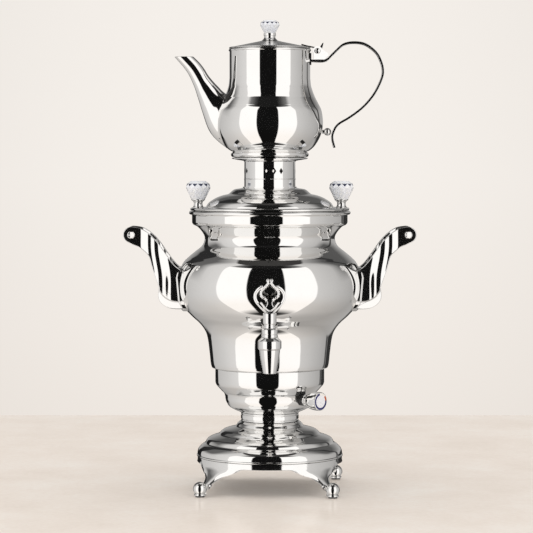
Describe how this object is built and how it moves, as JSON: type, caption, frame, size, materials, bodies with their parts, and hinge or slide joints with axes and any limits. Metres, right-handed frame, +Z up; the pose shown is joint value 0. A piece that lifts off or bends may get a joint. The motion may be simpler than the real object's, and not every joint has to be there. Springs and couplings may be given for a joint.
{
  "type": "electric samovar with teapot",
  "caption": "Chromed electric samovar: footed base, heated vase-shaped tank with tap, regulator and side handles, lid with stand ring, and a hinged-lid teapot on top.",
  "frame": {"origin": "on the samovar's vertical axis, at the height of the table it stands on", "axes": "+Z up, -Y towards the tap and the user, +X to the right seen from the tap"},
  "size_m": [0.329, 0.2424, 0.53],
  "materials": {
    "polished_steel": "mirror polished, lightly warm",
    "cast_chrome": "bright plated casting",
    "turned_chrome": "bright plated, fine turning lines",
    "crystal": "clear cut acrylic",
    "black_plastic": "fine satin",
    "grip": "smooth black",
    "dial_face": "white with a blue ring and an orange sector",
    "plain_steel": "bright zinc plated",
    "aluminium_plate": "as rolled",
    "element_sheath": "dull sheath",
    "brass_pins": "bright",
    "silicone": "soft translucent white"
  },
  "bodies": {
    "root": {"foot_pads": "black_plastic", "base_ring": "cast_chrome", "base_plate": "plain_steel", "base_dome": "polished_steel", "neck_collar": "turned_chrome", "tie_rod": "plain_steel", "tie_washer": "plain_steel", "tie_nut": "plain_steel", "heater_housing": "polished_steel", "tank": "polished_steel", "heater_plate": "aluminium_plate", "heating_element": "element_sheath", "thermal_cutout": "black_plastic", "thermostat": "black_plastic", "regulator_collar": "black_plastic", "power_inlet": "black_plastic", "inlet_pins": "brass_pins", "inner_leads": "silicone", "tap_pipe": "turned_chrome", "tap_rose": "cast_chrome", "tap_gaskets": "silicone", "tap_nut": "plain_steel", "tap_body": "cast_chrome", "tap_cap_nut": "turned_chrome", "tap_nozzle": "turned_chrome", "left_handle": "cast_chrome", "right_handle": "cast_chrome", "handle_grips": "grip", "grip_screws": "turned_chrome", "handle_bolts": "plain_steel"},
    "regulator": {"regulator_spindle": "plain_steel", "regulator_knob": "turned_chrome", "regulator_dial": "dial_face", "knob_grub_screw": "plain_steel"},
    "tap": {"tap_plug": "plain_steel", "tap_key": "cast_chrome"},
    "lid": {"tank_lid": "polished_steel", "lid_knob_stems": "turned_chrome", "lid_crystals": "crystal", "lid_knob_nuts": "plain_steel", "stand_ring": "polished_steel", "pot_seat": "polished_steel"},
    "pot": {"pot_body": "polished_steel", "pot_foot": "polished_steel", "pot_spout": "polished_steel", "pot_handle": "polished_steel", "pot_handle_link": "turned_chrome", "pot_hinge_bracket": "cast_chrome", "pot_hinge_pin": "turned_chrome"},
    "pot_lid": {"pot_lid": "polished_steel", "pot_lid_leaf": "cast_chrome", "pot_knob_stem": "turned_chrome", "pot_crystal": "crystal"}
  },
  "joints": [
    {"name": "tap_turn", "type": "hinge", "parent": "root", "child": "tap", "pos_m": [0, -0.125, 0.174], "axis": [0, 0, 1], "range_deg": [0, 90]},
    {"name": "regulator_turn", "type": "hinge", "parent": "root", "child": "regulator", "pos_m": [0.04243, -0.04243, 0.1045], "axis": [0.7071, -0.7071, 0], "range_deg": [0, 270]},
    {"name": "lid_lift", "type": "slide", "parent": "root", "child": "lid", "axis": [0, 0, 1], "range_m": [0, 0.08]},
    {"name": "pot_lift", "type": "slide", "parent": "lid", "child": "pot", "axis": [0, 0, 1], "range_m": [0, 0.07]},
    {"name": "pot_lid_hinge", "type": "hinge", "parent": "pot", "child": "pot_lid", "pos_m": [0.0539, 0, 0.4954], "axis": [0, 1, 0], "range_deg": [0, 95]}
  ]
}
